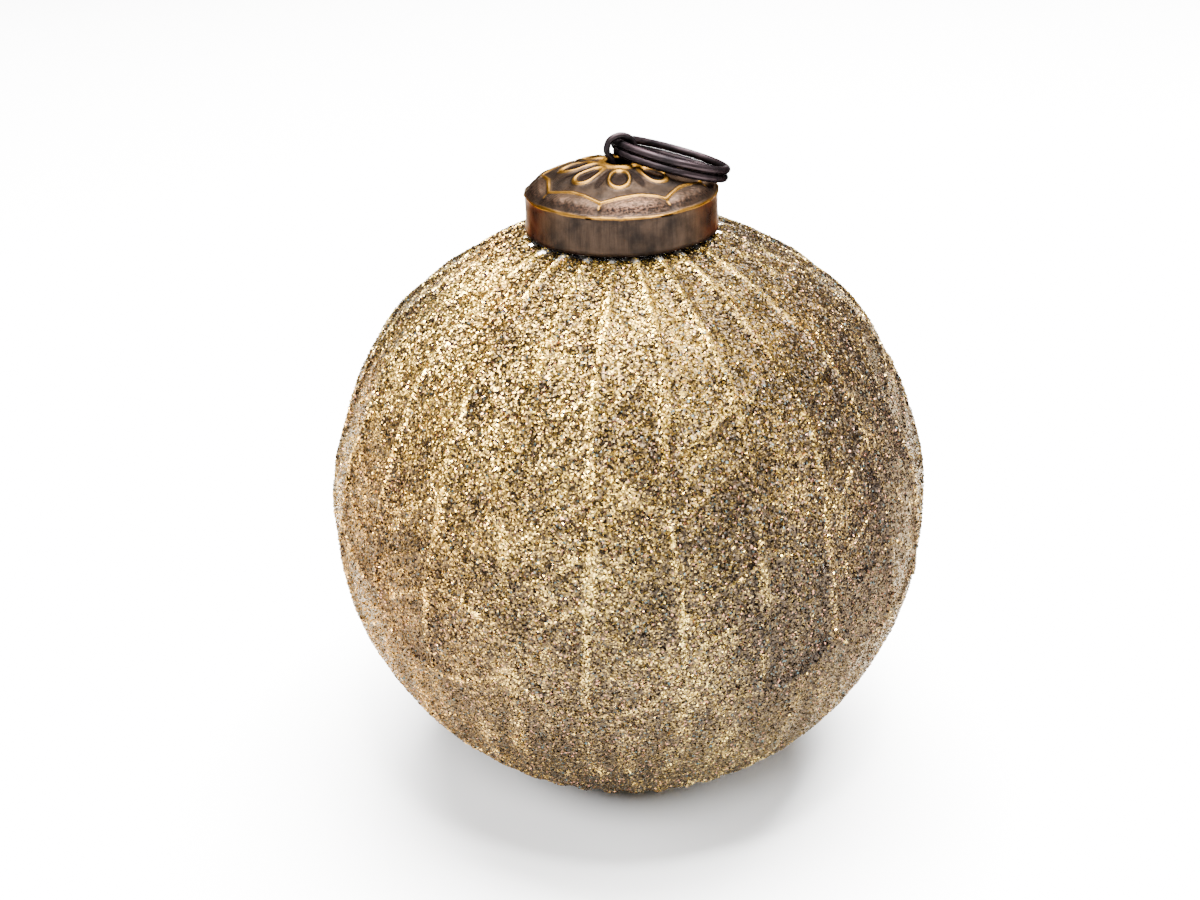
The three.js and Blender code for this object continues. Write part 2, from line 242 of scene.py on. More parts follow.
def swept_mesh(name: str, path: list[Vector], radius: float, sides: int = 20) -> Mesh:
    """Sweep a round wire along a path, with softly rounded ends.

    Args:
        name: The mesh's name.
        path: The wire's centre line.
        radius: The wire's radius.
        sides: Faces around the wire.

    Returns:
        A closed mesh whose faces point outwards.
    """
    bm = bmesh.new()
    ahead = (path[1] - path[0]).normalized()
    made = bmesh.ops.create_circle(bm, cap_ends=False, radius=radius, segments=sides)
    start = Matrix.Translation(path[0]) @ ahead.to_track_quat("Z", "Y").to_matrix().to_4x4()
    bmesh.ops.transform(bm, matrix=start, verts=made["verts"])
    ring = list(bm.edges)
    ends = [ring]
    for here, there in zip(path, path[1:]):
        heading = (there - here).normalized()
        grown = bmesh.ops.extrude_edge_only(bm, edges=ring)["geom"]
        verts = [item for item in grown if isinstance(item, bmesh.types.BMVert)]
        ring = [item for item in grown if isinstance(item, bmesh.types.BMEdge)]
        ring = [edge for edge in ring if all(vert in verts for vert in edge.verts)]
        turn = ahead.rotation_difference(heading).to_matrix().to_4x4()
        move = Matrix.Translation(there) @ turn @ Matrix.Translation(-here)
        bmesh.ops.transform(bm, matrix=move, verts=verts)
        ahead = heading
    ends.append(ring)
    caps = [bmesh.ops.contextual_create(bm, geom=end)["faces"][0] for end in ends]
    rims = [edge for cap in caps for edge in cap.edges]
    rounding = radius * 0.35
    bmesh.ops.bevel(
        bm, geom=rims, offset=rounding, segments=3, profile=0.5, affect="EDGES", material=-1
    )
    bmesh.ops.recalc_face_normals(bm, faces=bm.faces)
    return finished_mesh(name, bm)


def add_piece(mesh: Mesh, slot: Slot, *replaced: str) -> Object:
    """Put a finished mesh in the scene as a piece that rides on the body.

    Args:
        mesh: The mesh, in its place.
        slot: The record's slot for its finish; not used.
        replaced: CAD nodes that it stands for.

    Returns:
        The piece.
    """
    piece = bpy.data.objects.new(mesh.name, mesh)
    bpy.context.collection.objects.link(piece)
    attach(piece, BODY)
    if replaced:
        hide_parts(*replaced)
    return piece


# Node helpers


class Web:
    """Adds nodes to a material or a node group and links them."""

    def __init__(self, tree: NodeTree) -> None:
        """Start with an empty tree."""
        self.tree = tree
        tree.nodes.clear()

    def feed(self, socket: NodeSocket, value: object) -> None:
        """Link an output to a socket, or set the socket's own value.

        Args:
            socket: The socket.
            value: An output, a number, a place or an opaque colour.
        """
        if isinstance(value, NodeSocket):
            self.tree.links.new(value, socket)
        else:
            socket.default_value = (*value, 1.0) if socket.type == "RGBA" else value

    def fill(self, node: Node, **values: object) -> Node:
        """Feed a node's inputs.

        Args:
            node: The node.
            values: What each input takes, by its name with _ for a space.

        Returns:
            The node.
        """
        for name, value in values.items():
            self.feed(node.inputs[name.replace("_", " ")], value)
        return node

    def add(self, kind: str, **values: object) -> Node:
        """Add a node.

        Args:
            kind: The node's type, without its ShaderNode start.
            values: The node's own settings, and its inputs by name with _ for a space.

        Returns:
            The node.
        """
        node = self.tree.nodes.new(kind if kind.startswith("Node") else "ShaderNode" + kind)
        inputs = {name: value for name, value in values.items() if not hasattr(node, name)}
        for name in values.keys() - inputs.keys():
            setattr(node, name, values[name])
        return self.fill(node, **inputs)

    def in_order(self, node: Node, values: tuple) -> Node:
        """Feed a node's first inputs in order.

        Args:
            node: The node.
            values: What they take.

        Returns:
            The node.
        """
        for socket, value in zip(node.inputs, values):
            self.feed(socket, value)
        return node

    def math(self, operation: str, *values: object, clamp: bool = False) -> NodeSocket:
        """Add a Math node and give its output."""
        node = self.add("Math", operation=operation, use_clamp=clamp)
        return self.in_order(node, values).outputs[0]

    def scaled(self, value: object, times: object, plus: object = 0.0) -> NodeSocket:
        """Give a value multiplied and added to."""
        return self.math("MULTIPLY_ADD", value, times, plus)

    def vector(self, operation: str, *values: object) -> NodeSocket:
        """Add a Vector Math node and give its output, a number for a dot product."""
        node = self.in_order(self.add("VectorMath", operation=operation), values)
        return node.outputs["Value" if operation == "DOT_PRODUCT" else "Vector"]

    def span(self, value: object, low: float, high: float, *ends: float) -> NodeSocket:
        """Climb smoothly over low..high, from 0 to 1 or between the ends given.

        Args:
            value: What is read.
            low: Start of the climb.
            high: End of the climb.
            ends: What it gives at the start and at the end.

        Returns:
            The result.
        """
        start, end = ends or (0.0, 1.0)
        node = self.add(
            "MapRange", interpolation_type="SMOOTHSTEP", Value=value, From_Min=low, From_Max=high,
            To_Min=start, To_Max=end,
        )
        return node.outputs[0]

    def mix(self, share: object, first: object, second: object, blend: str = "MIX") -> NodeSocket:
        """Mix two colours.

        Args:
            share: How much of the second.
            first: The colour below.
            second: The colour above.
            blend: How they are mixed.

        Returns:
            The mixed colour.
        """
        node = self.add("Mix", data_type="RGBA", blend_type=blend)
        for index, value in ((0, share), (6, first), (7, second)):
            self.feed(node.inputs[index], value)
        return node.outputs[2]

    def noise(
        self, scale: float, detail: float, place: NodeSocket, roughness: float = 0.55
    ) -> NodeSocket:
        """Add a noise and give its value."""
        node = self.add("TexNoise", Vector=place, Scale=scale, Detail=detail, Roughness=roughness)
        return node.outputs[0]

    def object_place(self) -> NodeSocket:
        """Give the object coordinates."""
        return self.add("TexCoord").outputs["Object"]

    def mark(self, mark: Mark) -> NodeSocket:
        """Give the value that the mesh keeps under a mark."""
        return self.add("Attribute", attribute_name=mark.value).outputs["Fac"]

    def ramp(
        self, share: object, stops: tuple[tuple[float, Colour], ...], constant: bool = False
    ) -> NodeSocket:
        """Add a colour ramp.

        Args:
            share: Where it is read.
            stops: Its places and their colours.
            constant: Whether each colour holds until the next.

        Returns:
            The colour.
        """
        node = self.add("ValToRGB", Fac=share)
        ramp = node.color_ramp
        ramp.interpolation = "CONSTANT" if constant else "LINEAR"
        for index, (place, colour) in enumerate(stops):
            stop = ramp.elements[index] if index < 2 else ramp.elements.new(place)
            stop.position = place
            stop.color = (*colour, 1.0)
        return node.outputs["Color"]

    def place_group(self, group: NodeTree, **values: object) -> Node:
        """Place a node group and set its inputs by name, with _ for a space."""
        return self.fill(self.add("Group", node_tree=group), **values)


def new_group(
    name: str, inputs: dict[str, float], outputs: dict[str, Kind]
) -> tuple[Web, Node, Node]:
    """Start a node group with named sockets.

    Args:
        name: The group's name.
        inputs: Number inputs and their usual values.
        outputs: Outputs and their kinds.

    Returns:
        The group's web, its input node and its output node.
    """
    tree = bpy.data.node_groups.new(name, "ShaderNodeTree")
    number = Kind.NUMBER.value
    for label, usual in inputs.items():
        socket = tree.interface.new_socket(name=label, in_out="INPUT", socket_type=number)
        socket.default_value = usual
    for label, kind in outputs.items():
        tree.interface.new_socket(name=label, in_out="OUTPUT", socket_type=kind.value)
    web = Web(tree)
    return web, web.add("NodeGroupInput"), web.add("NodeGroupOutput")


def new_material(name: str, **constants: object) -> tuple[Material, Web, Node]:
    """Start a material with a Principled shader.

    Args:
        name: The material's name.
        constants: What is the same all over, set on the shader's own sockets.

    Returns:
        The material, its web and the shader node.
    """
    material = bpy.data.materials.new(name)
    material.use_nodes = True
    web = Web(material.node_tree)
    shader = web.add("BsdfPrincipled", **constants)
    web.add("OutputMaterial", Surface=shader.outputs[0])
    return material, web, shader


# Finishes


@dataclass(frozen=True)
class Patch:
    """A large soft patch on the glitter: its place, how far it reaches and what it changes."""

    azimuth: float
    latitude: float
    reach_cosine: float
    shift: float
    tint_share: float
    tint: Colour

    def strength(self, web: Web, away: NodeSocket) -> NodeSocket:
        """Give the patch's strength, from 0 to 1, in a direction from the ball's centre."""
        towards = directions(np.array([self.azimuth]), np.array([self.latitude]))[0]
        return web.span(web.vector("DOT_PRODUCT", away, tuple(towards)), self.reach_cosine, 1.0)


@dataclass(frozen=True)
class PatchGroup:
    """Unevenness of the glitter by where it lies on the ball, with painted light: a painted
    highlight on the top front, and painted shade on the right side and towards the bottom.
    """

    centre_level: float
    everywhere: float = -0.04
    mottle: tuple[tuple[float, float, float], ...] = (
        (34.0, 2.0, 0.7), (150.0, 3.0, 0.68), (420.0, 2.0, 0.42)
    )
    # Darker towards the bottom: painted shade.
    underside: Pair = (0.05, 0.75)
    underside_painted_shade: float = -0.19
    hue_scale: float = 46.0
    hue_place: Place = (3.1, 1.7, 0.4)
    hues: tuple[tuple[float, Colour], ...] = (
        (0.32, (0.8, 0.84, 0.82)), (0.44, (1.0, 0.97, 0.8)),
        (0.55, (1.0, 0.93, 0.66)), (0.67, (1.0, 0.76, 0.48)),
    )
    warm: Patch = Patch(-48.0, -12.0, 0.35, 0.0, 0.9, (1.0, 0.72, 0.47))
    # Painted shade on the right side.
    right_painted_shade: Patch = Patch(66.0, 6.0, 0.3, -0.2, 0.75, (0.88, 0.8, 0.82))
    # A painted highlight on the top front.
    bright: Patch = Patch(-4.0, 42.0, 0.45, 0.2, 0.8, (1.0, 0.9, 0.42))
    cool: Patch = Patch(6.0, -16.0, 0.55, -0.08, 0.6, (0.84, 0.9, 0.82))

    def build(self) -> NodeTree:
        """Build the group.

        Returns:
            The group: Shift, a change of brightness, and Tint out.
        """
        web, _, output = new_group(
            "glitter_patches", {}, {"Shift": Kind.NUMBER, "Tint": Kind.COLOUR}
        )
        place = web.object_place()
        out = web.vector("SUBTRACT", place, (0.0, 0.0, self.centre_level))
        away = web.vector("NORMALIZE", out)
        shift = self.everywhere
        for scale, detail, weight in self.mottle:
            uneven = web.math("SUBTRACT", web.noise(scale, detail, place), 0.5)
            shift = web.scaled(uneven, weight, shift)
        # Painted shade towards the bottom.
        low = web.span(web.vector("DOT_PRODUCT", away, (0.0, 0.0, -1.0)), *self.underside)
        shift = web.scaled(low, self.underside_painted_shade, shift)
        hue = web.noise(self.hue_scale, 3.0, web.vector("ADD", place, self.hue_place))
        tint = web.ramp(hue, self.hues)
        # Each patch shifts and tints the glitter; the one on the right is painted shade and the one
        # on the top front a painted highlight.
        for patch in (self.warm, self.right_painted_shade, self.bright, self.cool):
            strength = patch.strength(web, away)
            shift = web.scaled(strength, patch.shift, shift)
            tint = web.mix(web.scaled(strength, patch.tint_share), tint, patch.tint)
        web.fill(output, Shift=shift, Tint=tint)
        return web.tree


@dataclass(frozen=True)
class GlitterColourGroup:
    """Picks each grain's own colour from dark bronze to pale gold, shifted by the patches, with a
    painted highlight on rib crests and painted shade along their feet.
    """

    patches: NodeTree
    # How far the ribs' painted highlight and painted shade shift the pick.
    lift: float = 0.28
    stops: tuple[tuple[float, Colour], ...] = (
        (0.0, (0.007, 0.0055, 0.0055)),
        (0.13, (0.015, 0.0105, 0.0085)),
        (0.28, (0.031, 0.0215, 0.013)),
        (0.44, (0.061, 0.0425, 0.021)),
        (0.58, (0.12, 0.08, 0.03)),
        (0.71, (0.24, 0.16, 0.05)),
        (0.83, (0.5, 0.35, 0.098)),
        (0.93, (1.0, 0.75, 0.23)),
    )
    teal: Colour = (0.028, 0.055, 0.06)
    rose: Colour = (0.4, 0.17, 0.1)
    teal_above: float = 0.975
    rose_below: float = 0.035

    def build(self) -> NodeTree:
        """Build the group.

        Returns:
            The group: Pick and Raised in, Color and Roughness out.
        """
        web, given, output = new_group(
            "glitter_colour", {"Pick": 0.5, "Raised": 0.0},
            {"Color": Kind.COLOUR, "Roughness": Kind.NUMBER},
        )
        pick = given.outputs["Pick"]
        patches = web.place_group(self.patches)
        # Raised lifts the pick on rib crests, a painted highlight, and lowers it along their feet,
        # painted shade.
        lifted = web.scaled(given.outputs["Raised"], self.lift, pick)
        shifted = web.math("ADD", lifted, patches.outputs["Shift"], clamp=True)
        colour = web.ramp(shifted, self.stops, constant=True)
        colour = web.mix(1.0, colour, patches.outputs["Tint"], "MULTIPLY")
        odd = web.math("FRACT", web.scaled(pick, 57.31))
        teal = web.math("GREATER_THAN", odd, self.teal_above)
        colour = web.mix(web.scaled(teal, 0.75), colour, self.teal)
        rose = web.math("LESS_THAN", odd, self.rose_below)
        colour = web.mix(web.scaled(rose, 0.45), colour, self.rose)
        web.fill(output, Color=colour, Roughness=web.span(odd, 0.0, 1.0, 0.1, 0.4))
        return web.tree


@dataclass(frozen=True)
class CrustFinish:
    """The crust between the raised grains: fine cells, each with its own colour and tilt."""

    colours: NodeTree
    cell: float = 0.27 * MM
    gap: float = 0.09
    gap_colour: Colour = (0.03, 0.02, 0.014)
    tilt: float = 1.15

    def build(self) -> Material:
        """Build the material.

        Returns:
            The material.
        """
        material, web, shader = new_material(
            "glitter_crust", Metallic=0.85, Specular_Tint=GLITTER_EDGE
        )
        grid = {"Vector": web.object_place(), "Scale": 1.0 / self.cell}
        cells = web.add("TexVoronoi", feature="F1", **grid).outputs["Color"]
        edges = web.add("TexVoronoi", feature="DISTANCE_TO_EDGE", **grid).outputs["Distance"]
        picked = web.scaled(web.add("SeparateColor", Color=cells).outputs[0], 0.86, -0.04)
        glitter = web.place_group(self.colours, Pick=picked, Raised=web.mark(Mark.RAISED)).outputs
        inside = web.span(edges, 0.0, self.gap)
        centred = web.vector("SUBTRACT", cells, (0.5, 0.5, 0.5))
        lean = web.vector("MULTIPLY", centred, (self.tilt, self.tilt, self.tilt))
        tilted = web.vector("ADD", web.add("NewGeometry").outputs["Normal"], lean)
        web.fill(
            shader,
            Base_Color=web.mix(inside, self.gap_colour, glitter["Color"]),
            Roughness=glitter["Roughness"],
            Normal=web.vector("NORMALIZE", tilted),
        )
        return material


@dataclass(frozen=True)
class GrainFinish:
    """The raised grains: each is one colour, and its facets do the sparkling."""

    colours: NodeTree

    def build(self) -> Material:
        """Build the material.

        Returns:
            The material.
        """
        material, web, shader = new_material(
            "glitter_grains", Metallic=0.9, Specular_Tint=GLITTER_EDGE
        )
        pick, raised = web.mark(Mark.TONE), web.mark(Mark.RAISED)
        glitter = web.place_group(self.colours, Pick=pick, Raised=raised).outputs
        web.fill(shader, Base_Color=glitter["Color"], Roughness=glitter["Roughness"])
        return material


@dataclass(frozen=True)
class SilveredFinish:
    """The bare silvered glass inside the ball and on its neck, with tarnished blotches."""

    silver: Colour = (0.74, 0.72, 0.68)
    tarnish: Colour = (0.3, 0.25, 0.19)

    def build(self) -> Material:
        """Build the material.

        Returns:
            The material.
        """
        material, web, shader = new_material("silvered_glass", Metallic=0.9, Coat_Weight=0.6)
        blotch = web.span(web.noise(220.0, 5.0, web.object_place()), 0.45, 0.68)
        colour = web.mix(blotch, self.silver, self.tarnish)
        web.fill(shader, Base_Color=colour, Roughness=web.span(blotch, 0.0, 1.0, 0.12, 0.45))
        return material


@dataclass(frozen=True)
class WornMetalGroup:
    """Worn and tarnished metal: how worn each place is, its patina and its fine pitting."""

    stretch: Place = (1.0, 1.0, 0.06)
    patina_place: Place = (0.7, 0.2, 1.1)

    def build(self) -> NodeTree:
        """Build the group.

        Returns:
            The group: Raised and Streak in, Worn, Patina, Streaks and Pits out.
        """
        names = ("Worn", "Patina", "Streaks", "Pits")
        web, given, output = new_group(
            "worn_metal", {"Raised": 0.0, "Streak": 1.0}, dict.fromkeys(names, Kind.NUMBER)
        )
        place = web.object_place()
        rub = web.scaled(web.noise(420.0, 4.0, place), 0.5, -0.25)
        worn = web.math("ADD", given.outputs["Raised"], rub)
        blotch = web.noise(260.0, 5.0, web.vector("ADD", place, self.patina_place))
        lines = web.noise(2300.0, 4.0, web.vector("MULTIPLY", place, self.stretch), 0.7)
        web.fill(
            output,
            Worn=web.span(worn, 0.42, 0.78),
            Patina=web.span(blotch, 0.38, 0.66),
            Streaks=web.scaled(web.math("SUBTRACT", lines, 0.5), given.outputs["Streak"]),
            Pits=web.noise(2600.0, 3.0, place, 0.6),
        )
        return web.tree


@dataclass(frozen=True)
class CapFinish:
    """Antique stamped metal: brown copper with dark hollows and bright worn lines, painted shade in
    a band above the rim bead, and rubbed pinkish flecks that are strongest on the front pillow
    as a painted highlight.
    """

    worn_metal: NodeTree
    copper: Colour = (0.0188, 0.0126, 0.009)
    tarnish: Colour = (0.0095, 0.0074, 0.0062)
    brass: Colour = (0.09, 0.0435, 0.0078)
    rubbed_copper_and_highlight: Colour = (0.05, 0.027, 0.017)
    hollow_dark_and_groove_shade: Colour = (0.0028, 0.0024, 0.0024)
    edge_tint: Colour = (0.43, 0.36, 0.295)
    bump_height: float = 0.06 * MM

    def build(self) -> Material:
        """Build the material.

        Returns:
            The material.
        """
        material, web, shader = new_material(
            "aged_cap", Metallic=1.0, Specular_Tint=self.edge_tint
        )
        metal = web.place_group(self.worn_metal, Raised=web.mark(Mark.RAISED)).outputs
        hollow = web.mark(Mark.TONE)
        rubbed = web.mark(Mark.WEAR_AND_HIGHLIGHT)
        brown = web.mix(metal["Patina"], self.copper, self.tarnish)
        # Darker in the stamped hollows, with painted shade in a band above the rim bead.
        brown = web.mix(web.scaled(hollow, 0.85), brown, self.hollow_dark_and_groove_shade)
        streak = web.scaled(metal["Streaks"], 1.3, 1.0)
        streaks = web.add("CombineColor", Red=streak, Green=streak, Blue=streak).outputs[0]
        brown = web.mix(1.0, brown, streaks, "MULTIPLY")
        # Pinkish flecks of rubbed copper on the pillows, strongest on the front pillow as a painted
        # highlight.
        flecks_and_highlight = web.scaled(rubbed, web.span(metal["Pits"], 0.4, 0.62))
        brown = web.mix(flecks_and_highlight, brown, self.rubbed_copper_and_highlight)
        rough = web.scaled(metal["Worn"], -0.1, 0.46)
        rough = web.scaled(metal["Patina"], 0.1, rough)
        grainy = web.scaled(metal["Pits"], web.scaled(rubbed, 3.0, 1.0))
        height = web.scaled(metal["Streaks"], 0.6, grainy)
        bump = web.add("Bump", Strength=0.4, Distance=self.bump_height, Height=height)
        web.fill(
            shader,
            Base_Color=web.mix(metal["Worn"], brown, self.brass),
            Roughness=web.scaled(hollow, 0.12, rough),
            Normal=bump.outputs[0],
        )
        return material


@dataclass(frozen=True)
class WireFinish:
    """Blackened wire with a purple-brown sheen and a few rubbed places."""

    worn_metal: NodeTree
    black: Colour = (0.008, 0.0068, 0.0073)
    sheen: Colour = (0.02, 0.0145, 0.0155)
    rubbed: Colour = (0.03, 0.022, 0.019)
    edge_tint: Colour = (0.04, 0.034, 0.036)
    bump_height: float = 0.03 * MM

    def build(self) -> Material:
        """Build the material.

        Returns:
            The material.
        """
        material, web, shader = new_material(
            "blackened_wire", Metallic=1.0, Specular_Tint=self.edge_tint
        )
        metal = web.place_group(self.worn_metal, Raised=0.1, Streak=0.4).outputs
        colour = web.mix(metal["Patina"], self.sheen, self.black)
        bump = web.add("Bump", Strength=0.3, Distance=self.bump_height, Height=metal["Pits"])
        web.fill(
            shader,
            Base_Color=web.mix(web.scaled(metal["Worn"], 0.6), colour, self.rubbed),
            Roughness=web.scaled(metal["Patina"], 0.12, 0.42),
            Normal=bump.outputs[0],
        )
        return material


# Glass ball


@dataclass(frozen=True)
class LeafRelief:
    """The leaves pressed into the ball, and the fine ribs below them."""

    leaves: int = 12
    turn: float = -7.0
    tip: float = -11.0
    side: float = -3.0
    roundness: float = 2.4
    rib_height: float = 0.6 * MM
    rib_half: float = 1.15 * MM
    vein_pairs: int = 5
    lowest_vein: float = 8.5
    vein_step: float = 8.5
    vein_drop: float = 8.0
    vein_sway: float = 1.6
    vein_height: float = 0.42 * MM
    vein_half: float = 0.95 * MM
    lower_height: float = 0.36 * MM
    lower_width: float = 0.42
    flat_fade: float = 9.0
    fullness: float = 0.6 * MM
    full_latitude: float = 41.0
    full_spread: float = 20.0
    # Painted shade along the ribs' feet: how many rib widths it reaches, and how dark it is.
    flank: float = 2.4
    painted_flank_shade: float = 0.45
    wander: float = 1.0
    dent: float = 0.132 * MM

    def edge(self, offset: Values) -> Values:
        """Give the latitude of a leaf's lower edge at degrees from its midrib."""
        half = 180.0 / self.leaves
        return self.tip + (self.side - self.tip) * (offset / half) ** self.roundness

    def lines(
        self, azimuth: Values, latitude: Values, radius: float, flat_latitude: float, widen: float
    ) -> Values:
        """Give the height of the nearest rib or vein.

        Args:
            azimuth: Degrees from the front towards +X.
            latitude: Degrees above the equator.
            radius: The ball's radius under the relief.
            flat_latitude: Where the flat spot begins.
            widen: How many times wider each line is taken than it is.

        Returns:
            Heights.
        """
        half = 180.0 / self.leaves
        per_degree = math.radians(radius)
        across = per_degree * np.cos(np.radians(latitude))
        leaf = np.floor((azimuth - self.turn + half) / (2.0 * half))
        signed = azimuth - self.turn - leaf * 2.0 * half
        offset = np.clip(np.abs(signed), 0.0, half)
        below = (self.edge(offset) - latitude) * per_degree
        wide = self.rib_half * widen
        gaps = (below, offset * across, (half - offset) * across)
        edge, midrib, side = (self.rib_height * ridge(gap, wide) for gap in gaps)
        sway = self.vein_sway * np.sin(leaf * 2.4 + np.sign(signed) * 1.3)
        along = latitude + sway + self.vein_drop * offset / half
        vein = np.round((along - self.lowest_vein) / self.vein_step)
        vein = np.clip(vein, 0, self.vein_pairs - 1)
        from_vein = (along - self.lowest_vein - vein * self.vein_step) * per_degree
        fade = 1.0 - smoothstep(offset, half * 0.55, half * 0.95)
        veins = self.vein_height * fade * ridge(from_vein, self.vein_half * widen)
        leafy = np.maximum.reduce([edge, midrib, side, veins])
        spacing = half / 2.0
        from_rib = (offset - spacing * np.round(offset / spacing)) * across
        start = smoothstep(below, 0.0, 2.0 * self.rib_half)
        end = smoothstep(latitude, flat_latitude, flat_latitude + self.flat_fade)
        fine = self.lower_height * start * end * ridge(from_rib, spacing * across * self.lower_width)
        return np.where(below > 0.0, np.maximum(edge, fine), leafy)

    def height(
        self, azimuth: Values, latitude: Values, radius: float, flat_latitude: float
    ) -> tuple[Values, Values]:
        """Give the relief at places on the ball.

        Args:
            azimuth: Degrees from the front towards +X.
            latitude: Degrees above the equator.
            radius: The ball's radius under the relief.
            flat_latitude: Where the flat spot begins.

        Returns:
            Heights over that radius, and how much each place stands on a rib: 1 on its crest
            and below 0 along its foot, which the glitter's colour turns into a painted highlight
            on the crest and painted shade along the foot.
        """
        away = directions(azimuth, latitude)
        azimuth = azimuth + self.wander * ripple(away, 0.5, 11)
        latitude = latitude + self.wander * 1.2 * ripple(away, 0.45, 12)
        relief = self.lines(azimuth, latitude, radius, flat_latitude, 1.0)
        shared = relief / self.rib_height
        # Lighter on rib crests, a painted highlight, and darker along their feet, painted shade.
        broad = self.lines(azimuth, latitude, radius, flat_latitude, self.flank) / self.rib_height
        broken = np.clip(0.8 + 0.5 * ripple(away, 0.3, 15), 0.15, 1.3)
        raised = (shared - self.painted_flank_shade * np.maximum(broad - shared, 0.0)) * broken
        uneven = 1.0 + 0.3 * ripple(away, 0.35, 13)
        calm = smoothstep(latitude, flat_latitude, flat_latitude + self.flat_fade)
        dents = self.dent * ripple(away, 0.4, 14) * calm
        full = self.fullness * ridge(latitude - self.full_latitude, self.full_spread)
        return np.clip(relief * uneven, 0.0, self.rib_height) + full + dents, raised


@dataclass
class GlassBall:
    """The hollow glass ball, with its neck and the crust on its outside."""

    name: str = "mercury_glass_ball"
    diameter: float = 100 * MM
    wall: float = 1.3 * MM
    flat_diameter: float = 17 * MM
    neck_radius: float = 13.53 * MM
    neck_wall: float = 1.5 * MM
    columns: int = 384
    outer_rows: int = 196
    inner_rows: int = 22
    rim_rows: int = 7
    near: float = 0.02 * MM
    relief: LeafRelief = LeafRelief()

    def __post_init__(self) -> None:
        """Work out the sizes that follow from the others."""
        self.body = self.diameter / 2 - self.relief.rib_height
        self.centre = math.sqrt(self.body**2 - (self.flat_diameter / 2) ** 2)
        self.flat_latitude = -math.degrees(math.acos(self.flat_diameter / 2 / self.body))
        self.neck_latitude = math.degrees(math.acos(self.neck_radius / self.body))
        self.neck_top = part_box("glass_ball")[1][2]

    def surface(self, azimuth: Values, latitude: Values) -> tuple[Values, Values]:
        """Give places on the outside of the crust.

        Args:
            azimuth: Degrees from the front towards +X.
            latitude: Degrees above the equator.

        Returns:
            Places, and how much each stands on a rib, which the glitter's colour turns into a
            painted highlight on crests and painted shade along their feet.
        """
        height, raised = self.relief.height(azimuth, latitude, self.body, self.flat_latitude)
        radius = self.body + height
        lift = np.radians(latitude)
        level = self.centre + radius * np.sin(lift)
        return polar_points(azimuth, radius * np.cos(lift), level), raised

    def profile(self) -> list[Pair]:
        """Give the section: up the outside, over the neck's rim and down the inside.

        Returns:
            Radii and levels.
        """
        rim = self.neck_wall / 2
        inner = self.body - self.wall
        opening = math.acos((self.neck_radius - self.neck_wall) / inner)
        floor = -math.asin((self.centre - self.wall) / inner)
        outside = np.linspace(self.flat_latitude, self.neck_latitude, self.outer_rows)
        over = np.linspace(0.0, math.pi, self.rim_rows)
        return [
            (0.0, 0.0),
            (self.flat_diameter / 4, 0.0),
            *arc(self.body, 0.0, self.centre, np.radians(outside)),
            *arc(rim, self.neck_radius - rim, self.neck_top - rim, over),
            *arc(inner, 0.0, self.centre, np.linspace(opening, floor, self.inner_rows)),
            (0.0, self.wall),
        ]

    def build(self, crust: Material, silvered: Material) -> Object:
        """Spin the ball, raise its relief and dress it.

        Args:
            crust: Finish of the outside.
            silvered: Finish of the inside and the neck.

        Returns:
            The piece.
        """
        mesh = turned_mesh(self.name, self.profile(), self.columns)
        places = read_places(mesh)
        out = places - (0.0, 0.0, self.centre)
        distance = np.linalg.norm(out, axis=1)
        outside = (np.abs(distance - self.body) < self.near) & (places[:, 2] > self.near / 2)
        latitude = np.degrees(np.arcsin(np.clip(out[:, 2] / distance, -1, 1)))
        outside &= latitude < self.neck_latitude - 0.1
        moved, raised = self.surface(azimuths_of(places[outside]), latitude[outside])
        places[outside] = moved
        write_places(mesh, places)
        marks = np.zeros(len(places))
        marks[outside] = raised
        write_mark(mesh, Mark.RAISED, marks)
        mesh.materials.append(crust)
        mesh.materials.append(silvered)
        shoulder = self.body * math.sin(math.radians(self.neck_latitude - 0.5))
        for face in mesh.polygons:
            middle = face.center - Vector((0.0, 0.0, self.centre))
            bare = middle.length < self.body - self.wall / 2 or middle.z > shoulder
            face.material_index = 1 if bare else 0
        return add_piece(mesh, Slot.GLASS, "glass_ball")


